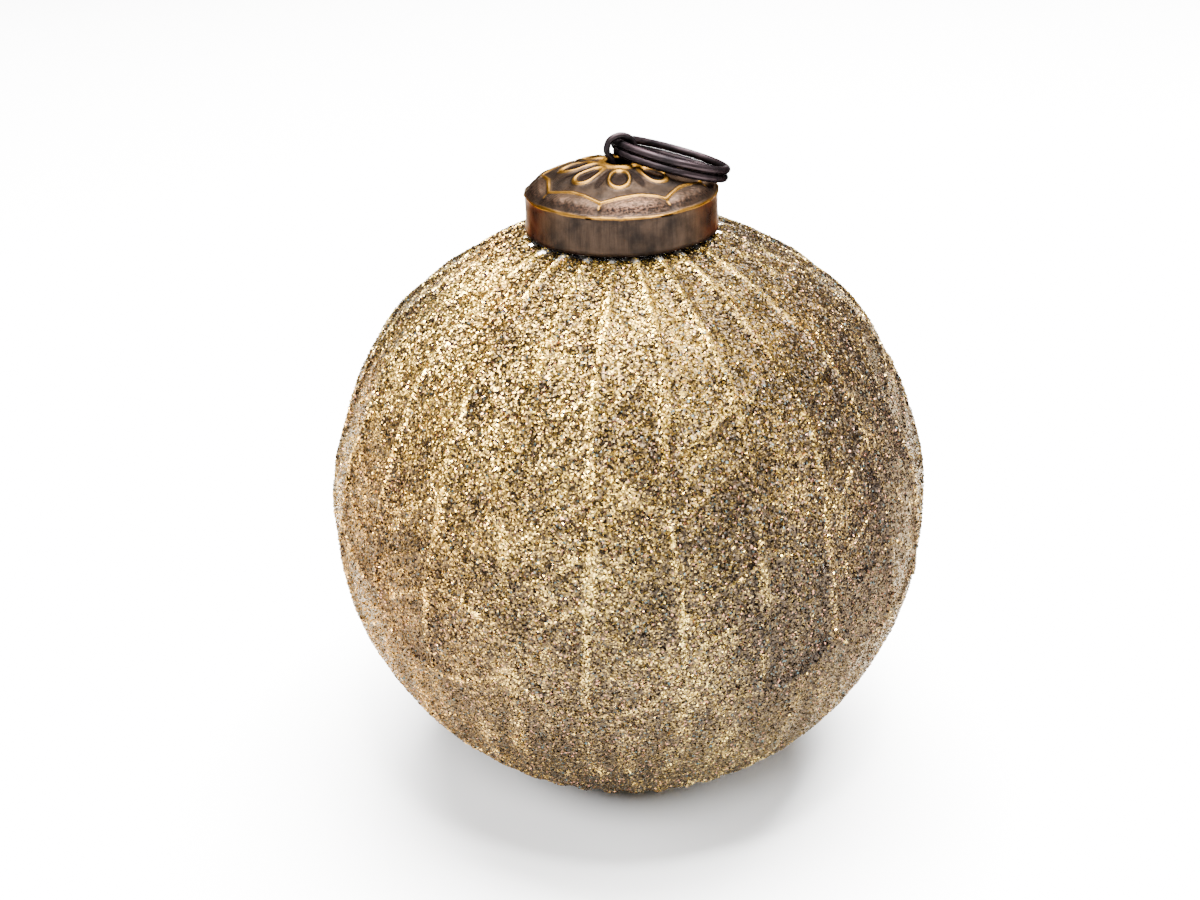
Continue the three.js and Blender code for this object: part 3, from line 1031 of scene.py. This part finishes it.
@dataclass
class GlitterGrains:
    """Angular grains of glitter, stuck all over the ball in several layers."""

    ball: GlassBall
    layers: int = 3
    seeds_per_layer: int = 24
    doublings: int = 11
    radius: float = 0.215 * MM
    highest_latitude: float = 73.0
    tilt: float = 24.0
    most_tilt: float = 55.0
    spare: float = 1.06
    jitter: float = 0.35
    bare: tuple[tuple[float, float, float], ...] = (
        (-50.0, 66.0, 0.09), (48.0, 60.0, 0.08), (160.0, 58.0, 0.1)
    )

    def grain_pack(self) -> Mesh:
        """Build one layer's grains in one place: three-sided shards, doubled again and again.

        Returns:
            The mesh of all grains.
        """
        bm = bmesh.new()
        for _ in range(self.seeds_per_layer):
            bmesh.ops.create_cone(
                bm, cap_ends=True, cap_tris=False, segments=3, radius1=1.0, radius2=0.0, depth=1.1
            )
        for _ in range(self.doublings):
            bmesh.ops.duplicate(bm, geom=bm.verts[:] + bm.edges[:] + bm.faces[:])
        return finished_mesh("glitter_pack", bm, smooth=False)

    def sorted_corners(self, pack: Mesh) -> Values:
        """Find which four vertices make each grain.

        Args:
            pack: The mesh of all grains.

        Returns:
            One row of four vertex numbers for each grain.
        """
        ends = np.empty(len(pack.edges) * 2, np.int32)
        pack.edges.foreach_get("vertices", ends)
        first, second = ends.reshape(-1, 2).T
        lowest = np.arange(len(pack.vertices))
        np.minimum.at(lowest, first, second)
        np.minimum.at(lowest, second, first)
        return np.argsort(lowest, kind="stable").reshape(-1, 4)

    def spread(self, count: int, layer: int, rng: np.random.Generator) -> tuple[Values, Values]:
        """Spread grains evenly but unruly over the ball.

        Args:
            count: How many.
            layer: Which layer.
            rng: Source of the unevenness.

        Returns:
            Azimuths and latitudes, in degrees.
        """
        low = math.sin(math.radians(self.ball.flat_latitude))
        high = math.sin(math.radians(self.highest_latitude))
        tries = int(count * self.spare)
        steps = np.arange(tries) + 0.5
        golden = 3.0 - math.sqrt(5.0)
        latitude = np.degrees(np.arcsin(low + (high - low) * steps / tries))
        azimuth = (steps * 180.0 * golden + layer * 97.0) % 360.0 - 180.0
        latitude = latitude + rng.normal(0.0, self.jitter, tries)
        azimuth = azimuth + rng.normal(0.0, self.jitter, tries) / np.cos(np.radians(latitude))
        away = directions(azimuth, latitude)
        keep = np.ones(tries)
        for spot_azimuth, spot_latitude, size in self.bare:
            spot = directions(np.array([spot_azimuth]), np.array([spot_latitude]))
            distance = np.linalg.norm(away - spot, axis=1)
            keep *= 0.35 + 0.65 * smoothstep(distance, size * 0.4, size)
        keep *= 0.8 + 0.2 * ripple(away, 0.25, 21)
        order = np.argsort(rng.random(tries) - keep)
        chosen = np.sort(order[:count])
        lowest, highest = self.ball.flat_latitude, self.highest_latitude
        return azimuth[chosen], np.clip(latitude[chosen], lowest, highest)

    def placed(self, shard: Values, centre: Values, rng: np.random.Generator) -> Values:
        """Size, turn and tilt each grain, and seat it in the crust.

        Args:
            shard: The grains as made, four corners each.
            centre: Where each grain sits.
            rng: Source of the unevenness.

        Returns:
            The corners in their places.
        """
        count = len(shard)
        size = self.radius * np.exp(rng.normal(0.0, 0.24, count))
        corners = shard * (1.0 + rng.uniform(-0.28, 0.28, shard.shape))
        corners[:, :, 2] *= rng.uniform(0.45, 0.95, count)[:, None]
        corners *= size[:, None, None]
        up = centre - (0.0, 0.0, self.ball.centre)
        up /= np.linalg.norm(up, axis=1, keepdims=True)
        side = np.cross(up, rng.normal(size=(count, 3)))
        side /= np.linalg.norm(side, axis=1, keepdims=True)
        lean = np.clip(rng.normal(0.0, self.tilt, count), -self.most_tilt, self.most_tilt)
        lean = np.radians(lean)[:, None]
        tilted_up = up * np.cos(lean) + np.cross(up, side) * np.sin(lean)
        axes = np.stack([side, np.cross(tilted_up, side), tilted_up], axis=1)
        seat = centre + up * size[:, None] * 0.1
        seated = seat[:, None] + corners @ axes
        seated[:, :, 2] = np.maximum(seated[:, :, 2], self.ball.near / 2)
        return seated

    def lay_out_map(self, mesh: Mesh, grain_of: Values) -> None:
        """Give each grain a cell of its own on the piece's map.

        Args:
            mesh: The layer's mesh, whose faces all have three corners.
            grain_of: Which grain each vertex belongs to.
        """
        across = math.ceil(math.sqrt(len(grain_of) / 4))
        vertex = np.empty(len(mesh.loops), np.int32)
        mesh.loops.foreach_get("vertex_index", vertex)
        grain = grain_of[vertex]
        corner = np.arange(len(vertex)) % 3
        shape = np.array([[0.2, 0.2], [0.8, 0.2], [0.5, 0.8]])
        cell = np.stack([grain % across, grain // across], axis=1)
        places = (cell + shape[corner]) / across
        layer = mesh.uv_layers.new(name="OFBake")
        layer.uv.foreach_set("vector", places.astype(np.float32).ravel())

    def build(self, finish: Material) -> list[Object]:
        """Scatter every layer and dress it.

        Args:
            finish: Finish of the grains.

        Returns:
            One piece for each layer.
        """
        pack = self.grain_pack()
        template = read_places(pack)
        corners = self.sorted_corners(pack)
        count = len(corners)
        grain_of = np.empty(len(template), np.int32)
        grain_of[corners] = np.arange(count)[:, None]
        pieces = []
        for layer in range(self.layers):
            rng = np.random.default_rng(300 + layer)
            azimuth, latitude = self.spread(count, layer, rng)
            centre, raised = self.ball.surface(azimuth, latitude)
            places = np.empty_like(template)
            places[corners] = self.placed(template[corners], centre, rng)
            mesh = pack.copy()
            mesh.name = f"glitter_layer_{layer + 1}"
            write_places(mesh, places)
            write_mark(mesh, Mark.TONE, rng.random(count)[grain_of])
            write_mark(mesh, Mark.RAISED, raised[grain_of])
            self.lay_out_map(mesh, grain_of)
            mesh.materials.append(finish)
            pieces.append(add_piece(mesh, Slot.GLASS))
        bpy.data.meshes.remove(pack)
        return pieces


# Cap


@dataclass(frozen=True)
class Stamping:
    """The pattern stamped into the cap's dome."""

    rim: float
    collar: float
    petals: int = 8
    petal_turn: float = -1.0
    petal_place: float = 0.315
    petal_share: float = 0.21
    petal_width: float = 3.0 * MM
    petal_flare: float = 0.25
    outline: float = 0.3 * MM
    outline_half: float = 0.48 * MM
    gilding: float = 1.25
    scallop_turn: float = 8.5
    arch_place: float = 0.7
    corner_place: float = 0.81
    pillow: float = 0.34 * MM
    crease_half: float = 0.5 * MM
    collar_width: float = 0.8 * MM
    collar_height: float = 0.25 * MM
    collar_reach: float = 1.1 * MM
    drop_half: float = 0.62 * MM
    drop_length: float = 1.1
    drop_flare: float = 0.4
    grain: float = 0.035 * MM
    hollow: float = 0.1 * MM
    wander: float = 0.9
    waver: float = 0.13 * MM

    def folded(self, azimuth: Values, turn: float) -> Values:
        """Give degrees from the nearest of the pattern's middles."""
        pitch = 360.0 / self.petals
        return azimuth - turn - pitch * np.round((azimuth - turn) / pitch)

    def relief(self, azimuth: Values, radius: Values) -> tuple[Values, Values, Values, Values]:
        """Give the relief at places on the dome.

        Args:
            azimuth: Degrees from the front towards +X.
            radius: Distances from the axis.

        Returns:
            Heights, raised lines, dark hollows and rubbed pillows, the last three from 0 to 1.
        """
        band = self.rim - self.collar
        half_pitch = 180.0 / self.petals
        points = polar_points(azimuth, radius / self.rim, np.zeros_like(radius))
        azimuth = azimuth + self.wander * ripple(points, 0.7, 31)
        radius = radius + self.waver * ripple(points, 0.5, 32)
        from_collar = radius - self.collar
        along = (from_collar - self.petal_place * band) / (self.petal_share * band)
        wide = self.petal_width / 2 * (1.0 + self.petal_flare * np.clip(along, -1.3, 1.3))
        across = radius * np.sin(np.radians(self.folded(azimuth, self.petal_turn))) / wide
        from_petal = (np.hypot(across, along) - 1.0) * wide
        petal = ridge(from_petal, self.outline_half)
        inside = smoothstep(-from_petal, 0.15 * MM, 0.5 * MM)
        drop_along = along / self.drop_length
        drop_wide = self.drop_half * (1.0 + self.drop_flare * np.clip(drop_along, -1.3, 1.3))
        drop_offset = self.folded(azimuth, self.petal_turn + half_pitch)
        drop_across = radius * np.sin(np.radians(drop_offset)) / drop_wide
        drop = 1.0 - smoothstep(np.hypot(drop_across, drop_along), 0.8, 1.25)
        share = np.abs(self.folded(azimuth, self.scallop_turn)) / half_pitch
        place = self.arch_place + (self.corner_place - self.arch_place) * share**1.8
        crest = self.collar + place * band
        scallop = ridge(radius - crest, self.outline_half)
        between = smoothstep(crest - radius, 0.25 * MM, 0.9 * MM)
        between = between * smoothstep(from_petal, 0.3 * MM, 0.9 * MM)
        beyond = radius > crest
        lobe = np.clip((radius - crest) / (self.rim - crest), 0.0, 1.0)
        pillow = np.sin(np.pi * lobe) ** 0.8 * (1.0 - share**5)
        from_crease = (1.0 - share) * radius * math.radians(half_pitch)
        crease = ridge(from_crease, self.crease_half) * beyond
        collar = ridge(from_collar + self.collar_width / 2, self.collar_width)
        inner = 0.8 + 0.4 * smoothstep(np.abs(along), 0.4, 0.9)
        worn_half = self.outline_half * self.gilding
        worn_collar = 1.0 - smoothstep(from_collar, 0.5 * self.collar_reach, self.collar_reach)
        lines = np.maximum.reduce([
            ridge(from_petal, worn_half) * inner,
            ridge(radius - crest, worn_half),
            0.75 * worn_collar * (1.0 - drop),
            crease * 0.8 * (1.0 - smoothstep(lobe, 0.35, 0.75)),
        ])
        flat = (radius > self.collar) & (radius < crest)
        hollow = np.maximum.reduce([inside, drop, between * 0.4]) * flat
        raised = np.maximum.reduce([
            self.outline * petal, self.outline * scallop, self.collar_height * collar,
            self.pillow * pillow,
        ])
        grain = self.grain * ripple(points, 0.03, 33) * pillow * beyond
        return raised - self.hollow * hollow + grain, lines, hollow, pillow * beyond


@dataclass
class StampedCap:
    """The stamped cap: an embossed dome, a plain skirt and a round hole."""

    name: str = "stamped_cap"
    rim_diameter: float = 29.86 * MM
    flare: float = 0.27 * MM
    skirt_height: float = 5.9 * MM
    dome_height: float = 4.5 * MM
    taper: float = 0.82
    sheet: float = 0.5 * MM
    hole_diameter: float = 4.6 * MM
    hole_easing: float = 0.02 * MM
    collar_width: float = 0.8 * MM
    bead: float = 0.2 * MM
    bead_half: float = 0.45 * MM
    bead_wave: float = 0.12 * MM
    nick: float = 0.16 * MM
    dent: float = 0.05 * MM
    # Level and half width of a band of painted shade above the rim bead.
    groove_shade: float = 0.85 * MM
    groove_shade_half: float = 0.5 * MM
    # How far round from the front the pillows' flecks stay strong: a painted highlight on the front
    # pillow.
    front_highlight_spread: float = 45.0
    columns: int = 480
    dome_rows: int = 84
    under_rows: int = 12
    skirt_rows: int = 9

    def __post_init__(self) -> None:
        """Work out the sizes that follow from the others."""
        self.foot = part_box("cap")[0][2]
        self.rim_level = self.foot + self.skirt_height
        self.rim = self.rim_diameter / 2
        self.stamping = Stamping(self.rim, self.hole_diameter / 2 + self.collar_width)

    def crown(self, rim: float, height: float, hole: float, rows: int) -> list[Pair]:
        """Give one side of the dome's sheet, from its rim to its hole.

        Args:
            rim: Its radius at the rim.
            height: Its height.
            hole: The hole's radius.
            rows: How many points.

        Returns:
            Radii and levels.
        """
        steep = 2.0 * self.taper
        turns = np.linspace(0.0, math.acos(hole / rim), rows)
        return [(rim * math.cos(t), self.rim_level + height * math.sin(t) ** steep) for t in turns]

    def profile(self) -> list[Pair]:
        """Give the section, round the sheet and back to its start.

        Returns:
            Radii and levels.
        """
        hole = self.hole_diameter / 2
        skirt = [(self.rim + self.flare * (1 - share), self.foot + self.skirt_height * share)
                 for share in np.linspace(0.03, 0.93, self.skirt_rows)]
        dome = self.crown(self.rim, self.dome_height, hole, self.dome_rows)
        under = self.crown(
            self.rim - self.sheet, self.dome_height - self.sheet, hole + self.hole_easing,
            self.under_rows,
        )
        lip = (self.rim + self.flare - self.sheet, self.foot)
        edge = (self.rim + self.flare - self.sheet / 2, self.foot)
        return [edge, *skirt, *dome, *reversed(under), lip, edge]

    def dome_normals(self, places: Values, radius: Values) -> tuple[Values, Values]:
        """Tell where the dome's outside is and which way it faces.

        Args:
            places: Places on the cap.
            radius: Their distances from the axis.

        Returns:
            Which places are on the outside of the dome, and its outward directions.
        """
        rise = places[:, 2] - self.rim_level
        climb = np.maximum(rise, 0.0) / self.dome_height
        level = (radius / self.rim) ** 2 + climb ** (1.0 / self.taper)
        slope_out = radius / self.rim**2
        slope_up = climb ** (1.0 / self.taper - 1.0) / (2.0 * self.taper * self.dome_height)
        outward = self.outward(places, radius) * slope_out[:, None]
        normal = outward + np.outer(slope_up, (0.0, 0.0, 1.0))
        normal /= np.hypot(slope_out, slope_up)[:, None]
        return (rise >= -1e-7) & (level > 0.99), normal

    def outward(self, places: Values, radius: Values) -> Values:
        """Give level directions away from the axis."""
        return places * (1.0, 1.0, 0.0) / np.maximum(radius, 1e-9)[:, None]

    def build(self, finish: Material) -> Object:
        """Spin the cap, stamp its dome and dress it.

        Args:
            finish: Finish of the metal.

        Returns:
            The piece.
        """
        mesh = turned_mesh(self.name, self.profile(), self.columns)
        places = read_places(mesh)
        radius = np.hypot(places[:, 0], places[:, 1])
        azimuth = azimuths_of(places)
        rise = places[:, 2] - self.rim_level
        outward = self.outward(places, radius)
        dome, normal = self.dome_normals(places, radius)
        height, lines, hollow, pillow = self.stamping.relief(azimuth, radius)
        dent = self.dent * ripple(places, 3.0 * MM, 41)
        places += normal * ((height + dent) * dome)[:, None]
        wave = self.bead_wave * ripple(outward, 0.8, 42)
        nick = self.nick * ridge(azimuth + 1.0, 4.0)
        bead = ridge(rise + wave + nick, self.bead_half) * (radius > self.rim - 0.3 * MM)
        skirt = (radius > self.rim - 0.1 * MM) & (rise < 0.6 * MM)
        bulge = self.bead * bead + self.dent * ripple(places, 5.0 * MM, 43) * skirt
        places += outward * bulge[:, None]
        write_places(mesh, places)
        # Painted shade in a band above the rim bead, kept with the darker hollows.
        groove_shade = ridge(rise - self.groove_shade, self.groove_shade_half)
        # Rubbed flecks on every pillow, strongest on the front one: a painted highlight.
        front = 0.3 + 0.7 * ridge(self.stamping.scallop_turn - azimuth, self.front_highlight_spread)
        write_mark(mesh, Mark.RAISED, np.maximum(lines * dome, 0.9 * bead))
        write_mark(mesh, Mark.TONE, np.maximum(hollow, groove_shade) * dome)
        write_mark(mesh, Mark.WEAR_AND_HIGHLIGHT, pillow * front * dome)
        mesh.materials.append(finish)
        return add_piece(mesh, Slot.CAP, "cap")


# Wire eye and split ring


@dataclass
class WireEye:
    """The wire whose arch is the eye over the cap, with two legs sprung out in the neck."""

    cap: StampedCap
    ball: GlassBall
    name: str = "wire_eye"
    wire: float = 1.05 * MM
    arch_width: float = 5.3 * MM
    turn: float = 14.0
    hole_clearance: float = 0.42 * MM
    bore_clearance: float = 0.6 * MM
    leg_depth: float = 5 * MM
    steps: int = 150

    def __post_init__(self) -> None:
        """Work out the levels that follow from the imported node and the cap."""
        self.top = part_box("hanger_wire")[1][2] - self.wire / 2
        self.collar_top = self.cap.rim_level + self.cap.dome_height + self.cap.stamping.collar_height

    def corners(self) -> list[Pair]:
        """Give the right half of the wire's line, from its leg's end to the arch's shoulder.

        Returns:
            Distances from the axis and levels.
        """
        half = self.wire / 2
        rise = self.top + half - self.collar_top
        arch = self.arch_width / 2 - half
        hole = self.cap.hole_diameter / 2 - self.hole_clearance - half
        leg = self.ball.neck_radius - self.ball.neck_wall - self.bore_clearance - half
        foot = self.ball.centre + math.sqrt(self.ball.body**2 - self.ball.neck_radius**2)
        bend = (self.ball.neck_top + foot) / 2
        under = self.cap.rim_level + self.cap.dome_height - self.cap.sheet
        return [
            (leg, foot - self.leg_depth),
            (leg * 0.86, (bend + foot - self.leg_depth) / 2),
            (leg * 0.45, bend),
            (hole, under - self.wire),
            (hole, self.collar_top),
            (arch, self.collar_top + rise * 0.34),
            (arch * 0.8, self.top - rise * 0.16),
        ]

    def build(self, finish: Material) -> Object:
        """Bend the wire and dress it.

        Args:
            finish: Finish of the wire.

        Returns:
            The piece.
        """
        side = self.corners()
        line = [Vector((x, 0.0, z)) for x, z in side] + [Vector((0.0, 0.0, self.top))]
        line += [Vector((-x, 0.0, z)) for x, z in reversed(side)]
        turned = Matrix.Rotation(math.radians(self.turn), 4, "Z")
        path = [turned @ point for point in smooth_path(line, self.steps)]
        mesh = swept_mesh(self.name, path, self.wire / 2)
        mesh.materials.append(finish)
        return add_piece(mesh, Slot.WIRE, "hanger_wire")


def smooth_path(line: list[Vector], steps: int, fineness: int = 40) -> list[Vector]:
    """Run a centripetal curve through points and space it evenly.

    Args:
        line: Points that the curve passes through.
        steps: How many even steps it is cut into.
        fineness: How many points it is read at between two of its own.

    Returns:
        steps + 1 points.
    """
    padded = [line[0] * 2 - line[1], *line, line[-1] * 2 - line[-2]]
    fine = []
    for four in zip(padded, padded[1:], padded[2:], padded[3:]):
        knots = [0.0]
        for here, there in zip(four, four[1:]):
            knots.append(knots[-1] + math.sqrt((there - here).length))
        for share in np.linspace(0.0, 1.0, fineness, endpoint=False):
            fine.append(curve_point(four, knots, knots[1] + (knots[2] - knots[1]) * share))
    fine.append(line[-1].copy())
    lengths = np.cumsum([0.0] + [(there - here).length for here, there in zip(fine, fine[1:])])
    axes = np.array([tuple(point) for point in fine]).T
    wanted = np.linspace(0.0, lengths[-1], steps + 1)
    return [Vector([float(np.interp(at, lengths, axis)) for axis in axes]) for at in wanted]


def curve_point(points: tuple[Vector, ...], knots: list[float], at: float) -> Vector:
    """Give a point of a curve through four points by repeated blending.

    Args:
        points: The four points.
        knots: Their places along the curve.
        at: Where to read the curve.

    Returns:
        The point.
    """
    level = list(points)
    for spans in (((0, 1), (1, 2), (2, 3)), ((0, 2), (1, 3)), ((1, 2),)):
        level = [
            here.lerp(there, (at - knots[low]) / (knots[high] - knots[low]))
            for here, there, (low, high) in zip(level, level[1:], spans)
        ]
    return level[0]


@dataclass
class SplitRing:
    """Two turns of one dark wire, joined by a short crossover, leaning outward on the cap."""

    name: str = "split_ring_wire"
    diameter: float = 19.2 * MM
    wire: float = 1.26 * MM
    turn_gap: float = 0.01 * MM
    crossover: float = 40.0
    place: float = 150.0
    turn: float = 26.0
    steps: int = 300

    def pose(self) -> Matrix:
        """Read the ring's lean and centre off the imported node.

        Returns:
            The turn and move from a level ring at the origin.
        """
        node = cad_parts["split_ring"]
        places = np.array([tuple(vertex.co) for vertex in node.data.vertices])
        middle = Vector((places.min(0) + places.max(0)) / 2)
        _, _, axes = np.linalg.svd(places - places.mean(0), full_matrices=False)
        lean = math.acos(min(1.0, abs(float(axes[2][2]))))
        turned = Matrix.Rotation(math.radians(self.turn), 4, "Z") @ Matrix.Rotation(lean, 4, "Y")
        return Matrix.Translation(middle) @ turned

    def build(self, finish: Material) -> Object:
        """Coil the wire, lean it and dress it.

        Args:
            finish: Finish of the wire.

        Returns:
            The piece.
        """
        radius = (self.diameter - self.wire) / 2
        pitch = self.wire + self.turn_gap
        along = np.linspace(0.0, 720.0 - self.crossover, self.steps)
        climb = pitch * (smoothstep(along, 360.0 - self.crossover, 360.0) - 0.5)
        angle = np.radians(self.place + self.crossover / 2 + along)
        coil = np.stack([radius * np.cos(angle), radius * np.sin(angle), climb], axis=1)
        pose = self.pose()
        mesh = swept_mesh(self.name, [pose @ Vector(point) for point in coil], self.wire / 2)
        mesh.materials.append(finish)
        return add_piece(mesh, Slot.WIRE, "split_ring")


# Studio


@dataclass(frozen=True)
class SoftLight:
    """A soft rectangular light that faces the ball, with its power in watts."""

    name: str
    place: Place
    size: Pair
    power: float

    def hang(self, target: Vector) -> None:
        """Hang the light.

        Args:
            target: What it faces.
        """
        data = bpy.data.lights.new(self.name, "AREA")
        data.shape = "RECTANGLE"
        data.size, data.size_y = self.size
        data.energy = self.power
        light = bpy.data.objects.new(self.name, data)
        bpy.context.collection.objects.link(light)
        place = Vector(self.place)
        turn = (target - place).to_track_quat("-Z", "Y").to_matrix().to_4x4()
        light.matrix_world = Matrix.Translation(place) @ turn


@dataclass
class Studio:
    """The plain floor, the soft lights and the camera of the photograph."""

    ball: GlassBall
    frame_size: tuple[int, int] = (1200, 900)
    ball_pixel: Pair = (628.0, 495.0)
    focal_pixels: float = 1450.0
    distance: float = 0.25
    elevation: float = 28.4
    roll: float = -1.27
    sensor: float = 36.0
    floor_radius: float = 4.0
    floor_colour: Colour = (0.94, 0.937, 0.93)
    room_colour: Colour = (1.0, 0.995, 0.985)
    room_light: float = 0.13
    room_seen: float = 1.2
    lights: tuple[SoftLight, ...] = (
        SoftLight("overhead", (0.12, 0.25, 1.4), (1.25, 1.1), 395.0),
        SoftLight("front_key", (-0.15, -1.05, 1.25), (0.6, 0.5), 34.0),
        SoftLight("cap_glint", (0.06, -0.42, 1.3), (0.16, 0.12), 26.0),
        SoftLight("left_window", (-1.5, -0.5, 1.4), (0.6, 0.8), 40.0),
        SoftLight("right_fill", (1.5, -0.1, 0.9), (0.5, 0.6), 13.0),
    )

    def add_camera(self, target: Vector) -> None:
        """Place the camera so that the ball's centre falls on its pixel.

        Args:
            target: The ball's centre.
        """
        data = bpy.data.cameras.new("camera")
        data.sensor_width = self.sensor
        data.lens = self.focal_pixels / self.frame_size[0] * self.sensor
        data.clip_start = 0.01
        camera = bpy.data.objects.new("camera", data)
        bpy.context.collection.objects.link(camera)
        lift = math.radians(self.elevation)
        ahead = Vector((0.0, math.cos(lift), -math.sin(lift)))
        right, up = Vector((1.0, 0.0, 0.0)), Vector((0.0, math.sin(lift), math.cos(lift)))
        level = Matrix((right, up, -ahead)).transposed()
        across = self.ball_pixel[0] - self.frame_size[0] / 2
        above = self.frame_size[1] / 2 - self.ball_pixel[1]
        seen = Vector((across, above, -self.focal_pixels))
        aim = seen.rotation_difference(Vector((0.0, 0.0, -1.0)))
        spin = Quaternion((0.0, 0.0, 1.0), math.radians(self.roll))
        turn = (level.to_quaternion() @ spin @ aim).to_matrix().to_4x4()
        camera.matrix_world = Matrix.Translation(target - ahead * self.distance) @ turn
        bpy.context.scene.camera = camera

    def add_floor(self) -> None:
        """Lay a wide pale floor."""
        bm = bmesh.new()
        bmesh.ops.create_circle(bm, cap_ends=True, radius=self.floor_radius, segments=96)
        mesh = finished_mesh("floor", bm, smooth=False)
        material, _, _ = new_material(
            "pale_floor", Base_Color=self.floor_colour, Roughness=0.9, Specular_IOR_Level=0.1
        )
        mesh.materials.append(material)
        floor = bpy.data.objects.new("floor", mesh)
        bpy.context.collection.objects.link(floor)

    def add_room(self) -> None:
        """Surround the scene with a pale room that gives little light."""
        world = bpy.data.worlds.new("soft_room")
        world.use_nodes = True
        web = Web(world.node_tree)
        straight = web.add("LightPath").outputs["Is Camera Ray"]
        strength = web.scaled(straight, self.room_seen - self.room_light, self.room_light)
        background = web.add("Background", Color=self.room_colour, Strength=strength)
        web.add("OutputWorld", Surface=background.outputs[0])
        bpy.context.scene.world = world

    def build(self) -> None:
        """Build the whole studio."""
        target = Vector((0.0, 0.0, self.ball.centre))
        self.add_camera(target)
        self.add_floor()
        for light in self.lights:
            light.hang(target)
        self.add_room()


def main() -> None:
    """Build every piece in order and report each."""
    logging.basicConfig(level=logging.INFO, format="%(message)s")
    ball = GlassBall()
    Studio(ball).build()
    colours = GlitterColourGroup(PatchGroup(ball.centre).build()).build()
    worn_metal = WornMetalGroup().build()
    pieces = [ball.build(CrustFinish(colours).build(), SilveredFinish().build())]
    pieces += GlitterGrains(ball).build(GrainFinish(colours).build())
    cap = StampedCap()
    pieces.append(cap.build(CapFinish(worn_metal).build()))
    wire = WireFinish(worn_metal).build()
    pieces.append(WireEye(cap, ball).build(wire))
    pieces.append(SplitRing().build(wire))
    for piece in pieces:
        LOG.info("%s: %d faces", piece.name, len(piece.data.polygons))
    LOG.info("sizes written")


if __name__ == "__main__":
    main()
